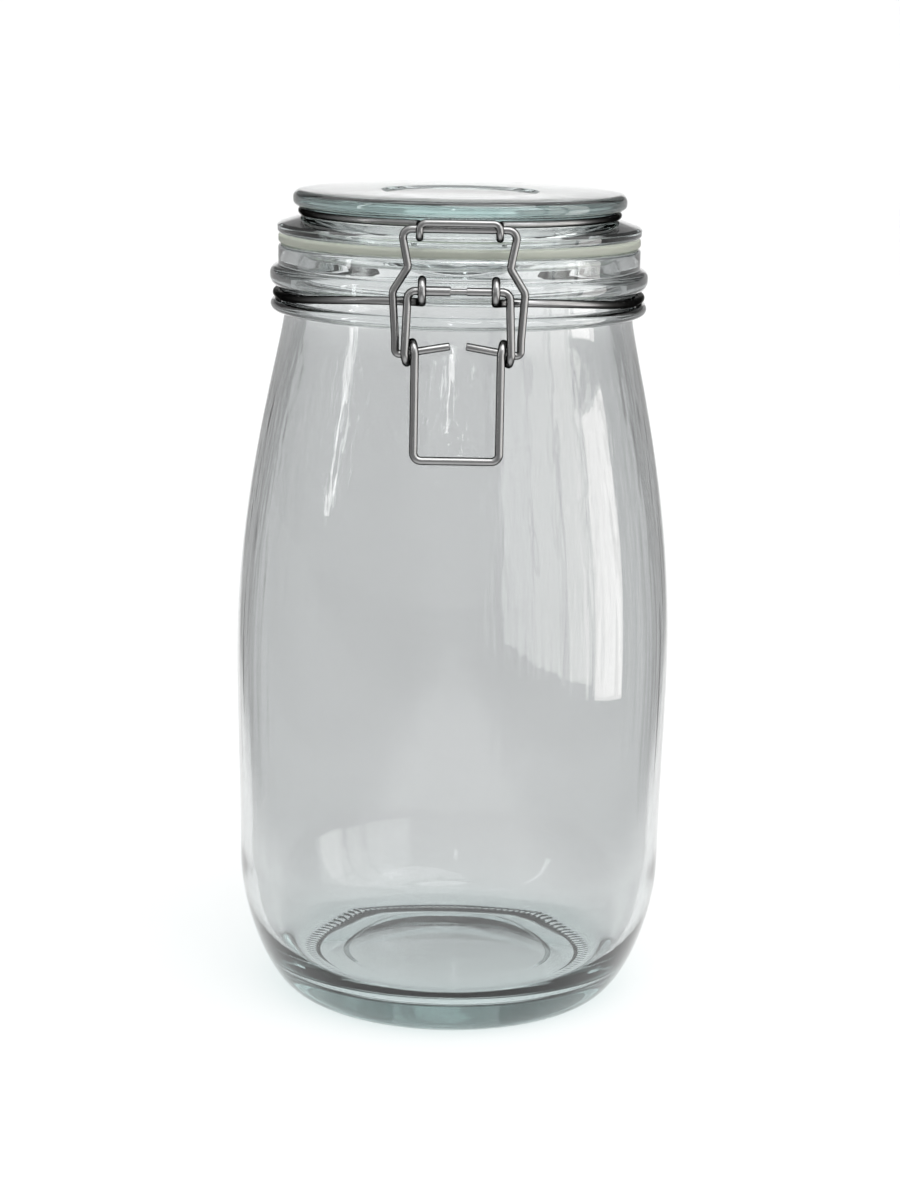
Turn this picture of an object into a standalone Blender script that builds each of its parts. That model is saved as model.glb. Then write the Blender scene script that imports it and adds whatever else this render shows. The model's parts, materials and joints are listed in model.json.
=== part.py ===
"""An empty clip-top glass storage jar: a barrel-shaped jar, a pressed glass lid on a rubber
gasket, and a wire closure.

The closure is four wires. One ring grips the neck. A second ring grips the lid, and its back
bar turns in two loops of the neck ring, which makes the lid's hinge. At the front a lever
turns in two eyelets of the neck ring, and it carries a yoke whose top bar lies in the upturned
hook of the lid ring.

Units are metres. +Z is up, the front, where the clip is, faces -Y, and the origin is the
centre of the foot.
"""

import math

import bpy
from mathutils import Vector, geometry

# Turned glass and rubber
STEPS_ROUND = 40
TURNED_BEND_STEPS = 2
WELD = 0.00001

# Jar, outside
RIM_Z = 0.2110
NECK_R = 0.0496
UPPER_BEAD_R = 0.0518
UPPER_BEAD_Z = 0.2023
UPPER_BEAD_ROUND = 0.0029
LOWER_BEAD_R = 0.0516
LOWER_BEAD_Z = 0.1946
LOWER_BEAD_ROUND = 0.0016
BEAD_TOP_SHARE, BEAD_SHARE, BEAD_LEAD = 0.75, 0.98, 0.0010
GROOVE_R = 0.0485
SHOULDER_R, SHOULDER_Z = 0.0479, 0.1922
BELLY_R, BELLY_Z = 0.0607, 0.0980
HEEL_R, HEEL_Z = 0.0596, 0.0380
FOOT_R = 0.0431
FOOT_INNER_R = 0.0392
FOOT_STEP = 0.0012
PUNT_R, PUNT_Z = 0.0290, 0.0032
PUNT_SLOPE_RUN, PUNT_SLOPE_Z, PUNT_RISE = 0.0015, 0.0018, 0.0008

# How far the outline of the barrel follows its direction at each of its points
SHOULDER_PULL = Vector((0.0004, 0, -0.0085))
BELLY_PULL_UP, BELLY_PULL_DOWN = Vector((0, 0, 0.0455)), Vector((0, 0, -0.0200))
HEEL_PULL_UP, HEEL_PULL_DOWN = Vector((0, 0, 0.0200)), Vector((0, 0, -0.0153))
FOOT_PULL = Vector((0.0078, 0, 0))
SHOULDER_POINTS, SIDE_POINTS, HEEL_POINTS = 10, 4, 8

# Jar, inside
MOUTH_R = 0.0445
MOUTH_TAPER = 0.0003
WALL = 0.0032
FLOOR_R, FLOOR_Z, FLOOR_RISE = 0.0400, 0.0090, 0.0004
CORNER_R, CORNER_Z = 0.0430, 0.0100
INNER_HEEL_LIFT = 0.0040
CORNER_PULL = Vector((0.0090, 0, 0.0008))
INNER_HEEL_PULL_DOWN = Vector((0, 0, -0.0150))
INNER_BELLY_PULL_DOWN = Vector((0, 0, -0.0180))
INNER_SHOULDER_POINTS, INNER_HEEL_POINTS = 8, 7
RIM_INNER_ROUND, RIM_OUTER_ROUND, RIM_EDGE = 0.0008, 0.0010, 0.0040

# Lid
LID_TOP_Z = 0.2256
LID_TOP_R = 0.0456
LID_RIM_BOTTOM_Z = 0.2212
LID_DISH_R, LID_DISH_DEPTH, LID_DISH_SLOPE = 0.0218, 0.0006, 0.0008
LID_RIM_ROUNDS = [0.0022, 0.0015]
LID_GROOVE_R = 0.0419
LID_GROOVE_BOTTOM_Z = 0.2185
LID_LEDGE_R, LID_LEDGE_Z = 0.0435, 0.2184
FLANGE_R = 0.0498
FLANGE_TOP_Z = 0.2167
FLANGE_EDGE_RUN, FLANGE_EDGE_DROP = 0.0010, 0.0006
FLANGE_BOTTOM_Z = 0.2139
FLANGE_ROUNDS = [0.0010, 0.0004, 0.0009]
PLUG_R = 0.0433
PLUG_BOTTOM_Z = 0.2075
PLUG_WALL, PLUG_DRAFT = 0.0040, 0.0008
PLUG_ROUNDS = [0.0010, 0.0008, 0.0020]
LID_CEILING_Z = 0.2195

# Gasket, between the rim and the flange
GAP = 0.0003
GASKET_INNER_R = 0.0438
GASKET_R = 0.0495
GASKET_ROUND = 0.0007

# Wires
WIRE = 0.00216
LID_WIRE = 0.0019
BEND = 0.0020
BEND_STEPS = 3
COIL_STEPS = 14

# Neck ring
NECK_RING_R = 0.0499
NECK_RING_Z = 0.1976
NECK_RING_STEP_DEG = 9
EYELET_X = 0.0094
EYELET_R = 0.0029
LEVER_AXIS = Vector((0, -0.0558, 0.2038))
EYELET_TURN = math.radians(290)
EYELET_LEAD = Vector((0.0009, 0.0013, -0.0001))
FRONT_LEAVES_DEG, FRONT_ARRIVES_DEG = 81, 13.2
FRONT_OUT_BY, FRONT_UP_FROM = 1.0, 0.1
FRONT_ARRIVES_R, FRONT_DIP = 0.0536, 0.0002
LOOP_X = 0.0107
LOOP_PITCH = 0.0026
LID_AXIS = Vector((0, 0.0558, 0.2070))
BACK_LEAVES_DEG, BACK_SHORT_DEG, BACK_INSET = 144, 2.5, 0.0004
BACK_OUT_BY, BACK_UP_FROM = 0.6, 0.4

# Lid ring
LID_RING_R = 0.0432
LID_RING_Z = 0.2198
LID_RING_FROM_DEG, LID_RING_TO_DEG, LID_RING_STEP_DEG = 153, 18, 9
HINGE_ARM_X = 0.0160
HINGE_ARM_RUN, HINGE_ARM_DROP = 0.0022, 0.0004
LID_RING_BEND = 0.0018
HOOK_X = 0.0102
HOOK_CLEARANCE = 0.00027
HOOK_DIP_RUN, HOOK_DIP_ROUND = 0.0010, 0.0030
HOOK_BAR_Z = 0.2212

# Lever
LEVER_LEG_X = 0.0130
YOKE_AXIS = Vector((0, -0.0552, 0.1880))
KNEE_R = 0.0026
KNEE_OUTER_X, KNEE_INNER_X = 0.0136, 0.0110
HANDLE_BOTTOM_Y, HANDLE_BOTTOM_Z = -0.0594, 0.1607
SEAM_HALF = 0.0020
SEAM_SHARE = 0.70
STEP_RUN = 0.0001
SLEEVE_START, SLEEVE_END = 0.0022, 0.0086
SLEEVE_SHARE = 1.2

# Yoke
YOKE_BAR = Vector((0, -0.0555, 0.2195))
YOKE_SHOULDER_X = 0.0149
YOKE_WAIST_X, YOKE_WAIST_Z = 0.0130, 0.2098
YOKE_HIP_X, YOKE_HIP_Z = 0.0169, 0.2036
YOKE_ANKLE_X, YOKE_ANKLE_Z = 0.0161, 0.1915
STUB_START_X, STUB_END_X = 0.0161, 0.0021
STUB_SLOPE = 0.17
YOKE_ROUNDS = [0.0022, 0.0022, 0.0026, 0.0040, 0.0012]
YOKE_WIRE = WIRE * 0.95


NEARLY_STRAIGHT = math.radians(89.5)


def at(radius, height):
    """A point of a turned profile, in the XZ plane."""
    return Vector((radius, 0, height))


def rounded(corners, radii, steps=BEND_STEPS):
    """A path through corner points, with an arc of the given radius in place of each inner corner."""
    if not isinstance(radii, list):
        radii = [radii] * (len(corners) - 2)
    path = [Vector(corners[0])]
    for before, corner, after, radius in zip(corners, corners[1:], corners[2:], radii):
        back, ahead = (before - corner).normalized(), (after - corner).normalized()
        half = back.angle(ahead) / 2
        if radius == 0 or half > NEARLY_STRAIGHT:
            path.append(Vector(corner))
            continue
        centre = corner + (back + ahead).normalized() * (radius / math.sin(half))
        start = corner + back * (radius / math.tan(half)) - centre
        end = corner + ahead * (radius / math.tan(half)) - centre
        side = (end - start * (end.dot(start) / start.length_squared)).normalized() * radius
        turn = math.pi - 2 * half
        for k in range(steps + 1):
            angle = turn * k / steps
            path.append(centre + start * math.cos(angle) + side * math.sin(angle))
    path.append(Vector(corners[-1]))
    return path


def eased(start, start_pull, end_pull, end, points):
    """A smooth stretch of a profile between two points, each with its pull."""
    return geometry.interpolate_bezier(start, start + start_pull, end + end_pull, end, points)


def turned(name, profile, material, closed=False):
    """A solid of revolution: the profile runs down its outer side, and a Screw turns it once."""
    profile = [p for p, q in zip(profile, profile[1:]) if (p - q).length > WELD / 10] + profile[-1:]
    count = len(profile)
    edges = [(k, k + 1) for k in range(count - 1)]
    if closed:
        edges.append((count - 1, 0))
    mesh = bpy.data.meshes.new(name)
    mesh.from_pydata(profile, edges, [])
    piece = bpy.data.objects.new(name, mesh)
    jar_parts.objects.link(piece)
    mesh.materials.append(material)
    screw = piece.modifiers.new("turn", "SCREW")
    screw.axis = "Z"
    screw.angle = 2 * math.pi
    screw.steps = screw.render_steps = STEPS_ROUND
    screw.use_merge_vertices = True
    screw.merge_threshold = WELD
    screw.use_smooth_shade = True
    return piece


def wire(name, path, thickness, material, closed=False, share=None):
    """A bent wire: a round tube along a path, with share(point) scaling it where it isn't plain."""
    curve = bpy.data.curves.new(name, "CURVE")
    curve.dimensions = "3D"
    curve.bevel_depth = thickness / 2
    curve.bevel_resolution = 2
    curve.use_fill_caps = True
    spline = curve.splines.new("POLY")
    spline.points.add(len(path) - 1)
    for point, place in zip(spline.points, path):
        point.co = (*place, 1)
        point.radius = share(place) if share else 1
    spline.use_cyclic_u = closed
    curve.materials.append(material)
    piece = bpy.data.objects.new(name, curve)
    jar_parts.objects.link(piece)
    return piece


def axis_empty(name, place):
    """An empty on a joint's axis, which carries what turns there."""
    empty = bpy.data.objects.new(name, None)
    empty.empty_display_size = 0.01
    empty.location = place
    jar_parts.objects.link(empty)
    return empty


def carry(empty, piece, base=Vector()):
    """Parents a piece to an axis, so that its mesh stays where it was drawn."""
    piece.parent = empty
    piece.location = -(empty.location + base)


def finish(name, colour, roughness, metallic=0.0, transmission=0.0):
    """A Principled material."""
    material = bpy.data.materials.new(name)
    material.use_nodes = True
    shader = material.node_tree.nodes["Principled BSDF"]
    shader.inputs["Base Color"].default_value = (*colour, 1)
    shader.inputs["Roughness"].default_value = roughness
    shader.inputs["Metallic"].default_value = metallic
    shader.inputs["Transmission Weight"].default_value = transmission
    return material


def mirrored(path):
    """The same path on the other side of the middle plane, run backwards."""
    return [Vector((-p.x, p.y, p.z)) for p in reversed(path)]


def round_jar(angle, radius, height):
    """A point round the jar, at an angle from the front."""
    return Vector((radius * math.sin(angle), -radius * math.cos(angle), height))


def circle_about(axis, x, radius, angle):
    """A point on a circle in a plane across the X axis. Angle 0 is to the back and 90 is up."""
    return Vector((x, axis.y + radius * math.cos(angle), axis.z + radius * math.sin(angle)))


def smooth(t):
    """0 to 1 with level ends."""
    t = min(max(t, 0), 1)
    return t * t * (3 - 2 * t)


def jar_body(material):
    """The jar: floor, inner wall, rim, beads, barrel, heel and the pushed-up underside."""
    inner_heel = at(HEEL_R - WALL, HEEL_Z + INNER_HEEL_LIFT)
    inner_belly = at(BELLY_R - WALL, BELLY_Z)
    inner_neck = at(MOUTH_R + MOUTH_TAPER, SHOULDER_Z)
    inside = [at(0, FLOOR_Z), at(FLOOR_R, FLOOR_Z + FLOOR_RISE)]
    inside += eased(
        at(CORNER_R, CORNER_Z), CORNER_PULL, INNER_HEEL_PULL_DOWN, inner_heel, INNER_HEEL_POINTS
    )
    inside += eased(inner_heel, HEEL_PULL_UP, INNER_BELLY_PULL_DOWN, inner_belly, SIDE_POINTS)[1:]
    inside += eased(inner_belly, BELLY_PULL_UP, SHOULDER_PULL, inner_neck, INNER_SHOULDER_POINTS)[1:]
    rim = rounded(
        [inner_neck, at(MOUTH_R, RIM_Z), at(NECK_R, RIM_Z), at(NECK_R, RIM_Z - RIM_EDGE)],
        [RIM_INNER_ROUND, RIM_OUTER_ROUND],
        TURNED_BEND_STEPS,
    )
    beads = rounded(
        [
            at(NECK_R, UPPER_BEAD_Z + UPPER_BEAD_ROUND + BEAD_LEAD),
            at(NECK_R, UPPER_BEAD_Z + UPPER_BEAD_ROUND),
            at(UPPER_BEAD_R, UPPER_BEAD_Z + UPPER_BEAD_ROUND),
            at(UPPER_BEAD_R, UPPER_BEAD_Z - UPPER_BEAD_ROUND),
            at(GROOVE_R, UPPER_BEAD_Z - UPPER_BEAD_ROUND),
            at(GROOVE_R, LOWER_BEAD_Z + LOWER_BEAD_ROUND),
            at(LOWER_BEAD_R, LOWER_BEAD_Z + LOWER_BEAD_ROUND),
            at(LOWER_BEAD_R, LOWER_BEAD_Z - LOWER_BEAD_ROUND),
            at(SHOULDER_R, LOWER_BEAD_Z - LOWER_BEAD_ROUND),
            at(SHOULDER_R, SHOULDER_Z),
        ],
        [0, UPPER_BEAD_ROUND * BEAD_TOP_SHARE, UPPER_BEAD_ROUND * BEAD_SHARE, 0, 0,
         LOWER_BEAD_ROUND * BEAD_SHARE, LOWER_BEAD_ROUND * BEAD_SHARE, 0],
    )
    shoulder, belly, heel = at(SHOULDER_R, SHOULDER_Z), at(BELLY_R, BELLY_Z), at(HEEL_R, HEEL_Z)
    barrel = eased(shoulder, SHOULDER_PULL, BELLY_PULL_UP, belly, SHOULDER_POINTS)
    barrel += eased(belly, BELLY_PULL_DOWN, HEEL_PULL_UP, heel, SIDE_POINTS)[1:]
    barrel += eased(heel, HEEL_PULL_DOWN, FOOT_PULL, at(FOOT_R, 0), HEEL_POINTS)[1:]
    underside = [
        at(FOOT_INNER_R, 0),
        at(FOOT_INNER_R - FOOT_STEP, FOOT_STEP),
        at(PUNT_R + PUNT_SLOPE_RUN, PUNT_SLOPE_Z),
        at(PUNT_R, PUNT_Z),
        at(0, PUNT_Z + PUNT_RISE),
    ]
    return turned("jar_body", inside + rim + beads + barrel + underside, material)


def lid_glass(material):
    """The pressed lid: a dished top over a grooved waist, a sloping flange and a hollow plug."""
    top = [
        at(0, LID_TOP_Z - LID_DISH_DEPTH),
        at(LID_DISH_R - LID_DISH_SLOPE, LID_TOP_Z - LID_DISH_DEPTH),
        at(LID_DISH_R, LID_TOP_Z),
    ]
    rim = rounded(
        [
            at(LID_DISH_R, LID_TOP_Z),
            at(LID_TOP_R, LID_TOP_Z),
            at(LID_TOP_R, LID_RIM_BOTTOM_Z),
            at(LID_GROOVE_R, LID_RIM_BOTTOM_Z),
        ],
        LID_RIM_ROUNDS,
    )
    ledge = at(LID_LEDGE_R, LID_LEDGE_Z)
    waist = [at(LID_GROOVE_R, LID_GROOVE_BOTTOM_Z), ledge]
    flange = rounded(
        [
            ledge,
            at(FLANGE_R - FLANGE_EDGE_RUN, FLANGE_TOP_Z),
            at(FLANGE_R, FLANGE_TOP_Z - FLANGE_EDGE_DROP),
            at(FLANGE_R, FLANGE_BOTTOM_Z),
            at(PLUG_R, FLANGE_BOTTOM_Z),
        ],
        FLANGE_ROUNDS,
        TURNED_BEND_STEPS,
    )
    plug = rounded(
        [
            at(PLUG_R, FLANGE_BOTTOM_Z),
            at(PLUG_R, PLUG_BOTTOM_Z),
            at(PLUG_R - PLUG_WALL, PLUG_BOTTOM_Z),
            at(PLUG_R - PLUG_WALL - PLUG_DRAFT, LID_CEILING_Z),
            at(0, LID_CEILING_Z),
        ],
        PLUG_ROUNDS,
        TURNED_BEND_STEPS,
    )
    return turned("lid_glass", top + rim + waist + flange + plug, material)


def gasket(material):
    """The rubber ring that lies between the jar's rim and the lid's flange."""
    low, high = RIM_Z + GAP, FLANGE_BOTTOM_Z - GAP
    middle = (GASKET_INNER_R + GASKET_R) / 2
    outline = rounded(
        [
            at(middle, high),
            at(GASKET_R, high),
            at(GASKET_R, low),
            at(GASKET_INNER_R, low),
            at(GASKET_INNER_R, high),
            at(middle, high),
        ],
        GASKET_ROUND,
        TURNED_BEND_STEPS,
    )
    return turned("gasket", outline[:-1], material, closed=True)


def leaving_groove(start_deg, end_deg, radius, height, out_by, up_from, points):
    """The neck wire where it leaves its groove: first outwards, past the bead, and then up."""
    path = []
    for k in range(points + 1):
        t = k / points
        out, up = smooth(t / out_by), smooth((t - up_from) / (1 - up_from))
        path.append(
            round_jar(
                math.radians(start_deg + (end_deg - start_deg) * t),
                NECK_RING_R + (radius - NECK_RING_R) * out,
                NECK_RING_Z + (height - NECK_RING_Z) * up,
            )
        )
    return path


def neck_ring(material):
    """The wire round the neck: two loops at the back for the lid, two eyelets in front for the lever."""
    loop_bottom = LID_AXIS.z - EYELET_R
    loop = [
        circle_about(LID_AXIS, LOOP_X + LOOP_PITCH * k / COIL_STEPS, EYELET_R,
                     math.radians(-90 - 360 * k / COIL_STEPS))
        for k in range(COIL_STEPS + 1)
    ]
    back_end = Vector((LOOP_X + LOOP_PITCH, LID_AXIS.y, 0))
    back_deg = 180 - math.degrees(math.atan2(back_end.x, back_end.y)) - BACK_SHORT_DEG
    back_r = back_end.length - BACK_INSET
    back = leaving_groove(
        BACK_LEAVES_DEG, back_deg, back_r, loop_bottom, BACK_OUT_BY, BACK_UP_FROM, 7
    )
    side_degs = range(BACK_LEAVES_DEG - NECK_RING_STEP_DEG, FRONT_LEAVES_DEG, -NECK_RING_STEP_DEG)
    side = [round_jar(math.radians(degs), NECK_RING_R, NECK_RING_Z) for degs in side_degs]
    eyelet_bottom = LEVER_AXIS.z - EYELET_R
    front = leaving_groove(
        FRONT_LEAVES_DEG, FRONT_ARRIVES_DEG, FRONT_ARRIVES_R, eyelet_bottom - FRONT_DIP,
        FRONT_OUT_BY, FRONT_UP_FROM, 9,
    )
    front.append(Vector((EYELET_X, LEVER_AXIS.y, eyelet_bottom)) + EYELET_LEAD)
    turns = round(COIL_STEPS * EYELET_TURN / (2 * math.pi))
    eyelet = [
        circle_about(LEVER_AXIS, EYELET_X, EYELET_R, -math.pi / 2 - EYELET_TURN * k / turns)
        for k in range(turns + 1)
    ]
    half = [Vector((0, LID_AXIS.y, loop_bottom))] + loop + back[::-1] + side + front + eyelet
    return wire("neck_ring", mirrored(half[1:]) + half, WIRE, material)


def lid_ring(material):
    """The wire round the lid: a hinge bar at the back and an upturned hook at the front."""
    over_flange = Vector((HINGE_ARM_X, LID_AXIS.y - HINGE_ARM_RUN, LID_RING_Z - HINGE_ARM_DROP))
    hinge_angle = math.pi - math.asin(HINGE_ARM_X / LID_RING_R)
    hook_angle = math.asin(HOOK_X / LID_RING_R)
    ring_degs = range(LID_RING_FROM_DEG, LID_RING_TO_DEG, -LID_RING_STEP_DEG)
    ring = [round_jar(math.radians(degs), LID_RING_R, LID_RING_Z) for degs in ring_degs]
    hook_round = (WIRE + LID_WIRE) / 2 + HOOK_CLEARANCE
    hook_front, hook_bottom = YOKE_BAR.y - hook_round, YOKE_BAR.z - hook_round
    corners = [
        Vector((0, LID_AXIS.y, LID_AXIS.z)),
        Vector((HINGE_ARM_X, LID_AXIS.y, LID_AXIS.z)),
        over_flange,
        round_jar(hinge_angle, LID_RING_R, LID_RING_Z),
        *ring,
        round_jar(hook_angle, LID_RING_R, LID_RING_Z),
        Vector((HOOK_X, YOKE_BAR.y + HOOK_DIP_RUN, hook_bottom)),
        Vector((HOOK_X, hook_front, hook_bottom)),
        Vector((HOOK_X, hook_front, HOOK_BAR_Z)),
        Vector((0, hook_front, HOOK_BAR_Z)),
    ]
    hinge_rounds = [BEND, BEND, LID_RING_BEND]
    hook_rounds = [LID_RING_BEND, HOOK_DIP_ROUND, hook_round, HOOK_BAR_Z - YOKE_BAR.z]
    half = rounded(corners, hinge_rounds + [0] * len(ring) + hook_rounds)
    return wire("lid_ring", half + mirrored(half[1:-1]), LID_WIRE, material, closed=True)


def lever(material):
    """The lever: a bar in the neck's eyelets, knees coiled round the yoke's stubs, and the handle."""
    bar_stops = [0, SEAM_HALF, SEAM_HALF + STEP_RUN, SLEEVE_START, SLEEVE_END, SLEEVE_END + STEP_RUN]
    bar = [LEVER_AXIS + Vector((x, 0, 0)) for x in bar_stops]
    knee_top = circle_about(YOKE_AXIS, KNEE_OUTER_X, KNEE_R, math.pi)
    leg = rounded([bar[-1], LEVER_AXIS + Vector((LEVER_LEG_X, 0, 0)), knee_top], BEND)[1:-1]
    knee = [
        circle_about(
            YOKE_AXIS,
            KNEE_OUTER_X + (KNEE_INNER_X - KNEE_OUTER_X) * k / COIL_STEPS,
            KNEE_R,
            math.radians(180 + 360 * k / COIL_STEPS),
        )
        for k in range(COIL_STEPS + 1)
    ]
    handle = rounded(
        [
            knee[-1],
            Vector((KNEE_INNER_X, HANDLE_BOTTOM_Y, HANDLE_BOTTOM_Z)),
            Vector((0, HANDLE_BOTTOM_Y, HANDLE_BOTTOM_Z)),
        ],
        BEND,
    )[1:]
    half = bar + leg + knee + handle

    def share(point):
        """Thinner at the seam in the middle of the bar, thicker in the sleeve beside it."""
        if (point - LEVER_AXIS).yz.length > WELD:
            return 1
        if abs(point.x) <= SEAM_HALF:
            return SEAM_SHARE
        if SLEEVE_START <= -point.x <= SLEEVE_END:
            return SLEEVE_SHARE
        return 1

    return wire("lever", half + mirrored(half[1:-1]), WIRE, material, closed=True, share=share)


def yoke(material):
    """The yoke: a bar that lies in the lid's hook, waisted legs, and stubs through the lever's knees."""
    knee_middle = (KNEE_OUTER_X + KNEE_INNER_X) / 2

    def stub(x):
        return Vector((x, YOKE_AXIS.y, YOKE_AXIS.z + (knee_middle - x) * STUB_SLOPE))

    corners = [
        YOKE_BAR,
        Vector((YOKE_SHOULDER_X, YOKE_BAR.y, YOKE_BAR.z)),
        Vector((YOKE_WAIST_X, YOKE_BAR.y, YOKE_WAIST_Z)),
        Vector((YOKE_HIP_X, YOKE_BAR.y, YOKE_HIP_Z)),
        Vector((YOKE_ANKLE_X, YOKE_AXIS.y, YOKE_ANKLE_Z)),
        stub(STUB_START_X),
        stub(STUB_END_X),
    ]
    half = rounded(corners, YOKE_ROUNDS)
    return wire("yoke", mirrored(half[1:]) + half, YOKE_WIRE, material)


def build():
    """Makes every piece and hangs the moving ones on their axes."""
    glass = finish("clear_glass", (0.86, 0.92, 0.91), 0.02, transmission=1.0)
    steel = finish("stainless_wire", (0.55, 0.55, 0.53), 0.22, metallic=1.0)
    rubber = finish("gasket_rubber", (0.78, 0.78, 0.70), 0.55)

    jar_body(glass)
    neck_ring(steel)

    lid_axis = axis_empty("lid_axis", LID_AXIS)
    for piece in (lid_glass(glass), gasket(rubber), lid_ring(steel)):
        carry(lid_axis, piece)

    lever_axis = axis_empty("lever_axis", LEVER_AXIS)
    carry(lever_axis, lever(steel))

    yoke_axis = axis_empty("yoke_axis", YOKE_AXIS - LEVER_AXIS)
    yoke_axis.parent = lever_axis
    carry(yoke_axis, yoke(steel), base=LEVER_AXIS)


for thing in list(bpy.data.objects):
    bpy.data.objects.remove(thing)
jar_parts = bpy.data.collections.new("clip_top_jar")
bpy.context.scene.collection.children.link(jar_parts)
build()
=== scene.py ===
# %% [markdown]
# # A clip-top glass jar
#
# This lesson dresses an empty storage jar: clear moulded glass, a milky rubber gasket and four
# bent steel wires. The frame already holds plain faceted solids at the right size. Each of them
# is replaced here by a fine surface of the same size, because glass shows every facet.

# %% The frame, and its size before any dressing
import json
import math

import bmesh
import bpy
import numpy as np
from mathutils import Matrix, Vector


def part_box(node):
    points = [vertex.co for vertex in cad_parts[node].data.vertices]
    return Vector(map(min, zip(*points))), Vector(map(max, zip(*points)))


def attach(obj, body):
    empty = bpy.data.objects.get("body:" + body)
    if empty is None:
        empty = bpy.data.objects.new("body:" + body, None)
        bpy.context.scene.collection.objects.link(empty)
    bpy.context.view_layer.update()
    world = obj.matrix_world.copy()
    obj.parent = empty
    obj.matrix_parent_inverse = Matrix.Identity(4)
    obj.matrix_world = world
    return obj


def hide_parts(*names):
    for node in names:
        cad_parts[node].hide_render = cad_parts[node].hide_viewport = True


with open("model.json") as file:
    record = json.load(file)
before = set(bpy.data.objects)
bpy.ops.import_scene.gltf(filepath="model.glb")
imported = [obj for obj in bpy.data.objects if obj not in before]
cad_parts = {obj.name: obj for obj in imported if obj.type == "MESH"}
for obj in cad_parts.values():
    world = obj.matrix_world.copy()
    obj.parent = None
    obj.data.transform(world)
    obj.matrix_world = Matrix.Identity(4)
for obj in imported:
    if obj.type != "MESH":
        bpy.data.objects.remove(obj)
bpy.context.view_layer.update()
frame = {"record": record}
JOINTS = {joint["name"]: joint for joint in frame["record"]["behaviour"]["joints"]}

# %% [markdown]
# ## Camera
#
# The photograph looks down on the jar by about 12 degrees, from 0.75 m away, through a long lens.
# The jar leans a little to the right in it, so the camera is rolled by one degree. The picture is
# 900 by 1200 pixels, and its long side is the 36 mm side of the sensor.

# %% Camera
CAMERA_DISTANCE = 0.750
CAMERA_HEIGHT = 0.2755
CAMERA_ASIDE = -0.0009
PITCH_DEG = 12.35
ROLL_DEG = 1.0
LENS_MM, SENSOR_MM = 81.8, 36
CLIP_NEAR, CLIP_FAR = 0.01, 50


def set_camera():
    """A level camera is turned up from looking straight down, then rolled about its own axis."""
    data = bpy.data.cameras.new("camera")
    data.lens, data.sensor_width = LENS_MM, SENSOR_MM
    data.clip_start, data.clip_end = CLIP_NEAR, CLIP_FAR
    camera = bpy.data.objects.new("camera", data)
    camera.matrix_world = (
        Matrix.Translation((CAMERA_ASIDE, -CAMERA_DISTANCE, CAMERA_HEIGHT))
        @ Matrix.Rotation(math.radians(90 - PITCH_DEG), 4, "X")
        @ Matrix.Rotation(math.radians(ROLL_DEG), 4, "Z")
    )
    bpy.context.collection.objects.link(camera)
    bpy.context.scene.camera = camera


set_camera()
print("camera", CAMERA_DISTANCE, "m away, looking down by", PITCH_DEG, "degrees")

# %% [markdown]
# ## Floor and light
#
# Clear glass has hardly any colour of its own: it shows what stands behind and beside it. So the
# floor is pale where the camera sees it, and it runs up into a backdrop without an edge. In front
# of that part, beside it and high on the backdrop, its paint fades to grey: painted shade, as if
# the lamps lit only the part that the camera sees. That grey is never in the picture, but the glass
# bends it into its edges, and the wires get something dark to mirror. A darker room alone would do
# the same, but it would take its light off the pale floor too.

# %% Floor and backdrop
FLOOR_NEAR, FLOOR_FAR, BACKDROP_TOP = -2.5, 3.0, 3.5
FLOOR_HALF_WIDTH = 4.0
SWEEP_RADIUS, SWEEP_STEPS = 1.2, 24


def make_floor(material):
    """A sheet that is level, then bends up through a quarter circle, then stands."""
    bend = np.linspace(0, np.pi / 2, SWEEP_STEPS)
    y = np.r_[FLOOR_NEAR, FLOOR_FAR + SWEEP_RADIUS * np.sin(bend), FLOOR_FAR + SWEEP_RADIUS]
    z = np.r_[0, SWEEP_RADIUS * (1 - np.cos(bend)), BACKDROP_TOP]
    x = np.array([-FLOOR_HALF_WIDTH, FLOOR_HALF_WIDTH])
    points = np.stack(np.broadcast_arrays(x[None], y[:, None], z[:, None]), -1).reshape(-1, 3)
    row = np.arange(len(y) - 1)[:, None] * 2
    faces = (row + np.array([0, 1, 3, 2])).tolist()
    mesh = bpy.data.meshes.new("floor")
    mesh.from_pydata(points.tolist(), [], faces)
    mesh.shade_smooth()
    mesh.materials.append(material)
    floor = bpy.data.objects.new("floor", mesh)
    bpy.context.collection.objects.link(floor)
    print("floor", len(faces), "faces")


# %% [markdown]
# A material is a tree of small nodes. Two helpers save many lines here and below: one makes a
# Math node from numbers and sockets, the other a smooth step from 1 to another share.

# %% Node helpers
def math_node(tree, operation, *values):
    """A Math node fed with numbers and sockets."""
    node = tree.nodes.new("ShaderNodeMath")
    node.operation = operation
    for socket, value in zip(node.inputs, values):
        if isinstance(value, (int, float)):
            socket.default_value = value
        else:
            tree.links.new(value, socket)
    return node.outputs[0]


def fade(tree, value, start, end, share):
    """1 up to start, then a smooth step to share at end."""
    node = tree.nodes.new("ShaderNodeMapRange")
    node.interpolation_type = "SMOOTHSTEP"
    node.inputs["From Min"].default_value, node.inputs["From Max"].default_value = start, end
    node.inputs["To Min"].default_value, node.inputs["To Max"].default_value = 1.0, share
    tree.links.new(value, node.inputs["Value"])
    return node.outputs["Result"]


# %% [markdown]
# The paint reads its own place on the floor in metres. Each of its three fades of painted shade
# is a share of the pale colour, and they are multiplied. An image could hold the same, but it
# would have to be drawn first, and it couldn't be changed by a number.

# %% Floor paint, with painted shade
FLOOR_PALE, FLOOR_ROUGHNESS, FLOOR_SHEEN = 0.88, 0.9, 0.1
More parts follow.
